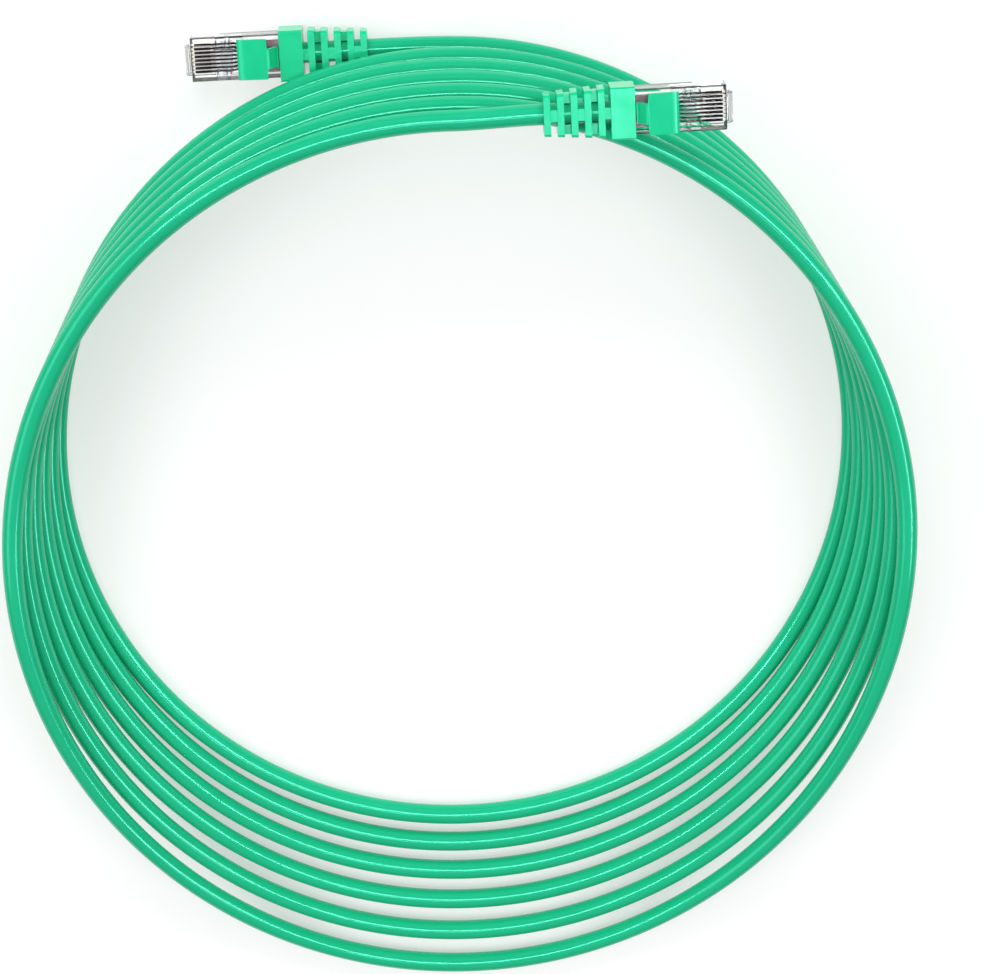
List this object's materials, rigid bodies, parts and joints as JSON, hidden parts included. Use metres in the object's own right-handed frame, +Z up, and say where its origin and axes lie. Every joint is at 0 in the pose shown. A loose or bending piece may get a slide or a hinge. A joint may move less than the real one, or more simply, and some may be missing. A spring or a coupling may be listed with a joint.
{
  "type": "ethernet patch cable",
  "caption": "Round green network patch cord in loose fanned turns, with a clear modular plug, sprung latch, gold contacts, black conductors and a finned strain-relief boot at each end.",
  "frame": {"origin": "on the floor, half way between the two plugs (bottom centre of the plugs' box)", "axes": "+Z up from the floor, +X from plug a towards plug b, +Y from the coil's spread front towards its stacked rear"},
  "size_m": [0.2492, 0.2804, 0.0489],
  "materials": {
    "cord_green": "glossy extruded PVC jacket",
    "boot_green": "satin moulded PVC",
    "clear_plastic": "clear polished polycarbonate",
    "load_bar_plastic": "clear polycarbonate",
    "contact_gold": "gold-plated phosphor bronze",
    "conductor_black": "black extruded insulation",
    "strain_relief_grey": "dark grey moulded plastic"
  },
  "bodies": {
    "cord_and_plugs": {"coil_turns": "cord_green", "cord_tail_a": "cord_green", "cord_tail_b": "cord_green", "housing_a": "clear_plastic", "strain_relief_a": "strain_relief_grey", "load_bar_a": "load_bar_plastic", "boot_a": "boot_green", "contact_a_1": "contact_gold", "wire_a_1": "conductor_black", "contact_a_2": "contact_gold", "wire_a_2": "conductor_black", "contact_a_3": "contact_gold", "wire_a_3": "conductor_black", "contact_a_4": "contact_gold", "wire_a_4": "conductor_black", "contact_a_5": "contact_gold", "wire_a_5": "conductor_black", "contact_a_6": "contact_gold", "wire_a_6": "conductor_black", "contact_a_7": "contact_gold", "wire_a_7": "conductor_black", "contact_a_8": "contact_gold", "wire_a_8": "conductor_black", "housing_b": "clear_plastic", "strain_relief_b": "strain_relief_grey", "load_bar_b": "load_bar_plastic", "boot_b": "boot_green", "contact_b_1": "contact_gold", "wire_b_1": "conductor_black", "contact_b_2": "contact_gold", "wire_b_2": "conductor_black", "contact_b_3": "contact_gold", "wire_b_3": "conductor_black", "contact_b_4": "contact_gold", "wire_b_4": "conductor_black", "contact_b_5": "contact_gold", "wire_b_5": "conductor_black", "contact_b_6": "contact_gold", "wire_b_6": "conductor_black", "contact_b_7": "contact_gold", "wire_b_7": "conductor_black", "contact_b_8": "contact_gold", "wire_b_8": "conductor_black"},
    "latch_lever_a": {"latch_a": "clear_plastic"},
    "latch_lever_b": {"latch_b": "clear_plastic"},
    "boot_tongue_a": {"tongue_a": "boot_green"},
    "boot_tongue_b": {"tongue_b": "boot_green"}
  },
  "joints": [
    {"name": "tongue_press_a", "type": "hinge", "parent": "cord_and_plugs", "child": "boot_tongue_a", "pos_m": [-0.04628, 0.0046, 0.0089], "axis": [0.0471, -0.9989, 0], "range_deg": [0, 8], "stiffness_Nm_per_rad": 0.05},
    {"name": "latch_press_a", "type": "hinge", "parent": "cord_and_plugs", "child": "latch_lever_a", "pos_m": [-0.0704, 0.00347, 0.0053], "axis": [0.0471, -0.9989, 0], "range_deg": [-6.5, 0], "stiffness_Nm_per_rad": 0.05},
    {"name": "tongue_press_b", "type": "hinge", "parent": "cord_and_plugs", "child": "boot_tongue_b", "pos_m": [0.04628, -0.0046, 0.04484], "axis": [-0.0471, 0.9989, 0], "range_deg": [0, 8], "stiffness_Nm_per_rad": 0.05},
    {"name": "latch_press_b", "type": "hinge", "parent": "cord_and_plugs", "child": "latch_lever_b", "pos_m": [0.0704, -0.00347, 0.04124], "axis": [-0.0471, 0.9989, 0], "range_deg": [-6.5, 0], "stiffness_Nm_per_rad": 0.05}
  ],
  "couplings": [
    {"joint": "latch_press_a", "follows": "tongue_press_a", "ratio": -0.78},
    {"joint": "latch_press_b", "follows": "tongue_press_b", "ratio": -0.78}
  ]
}
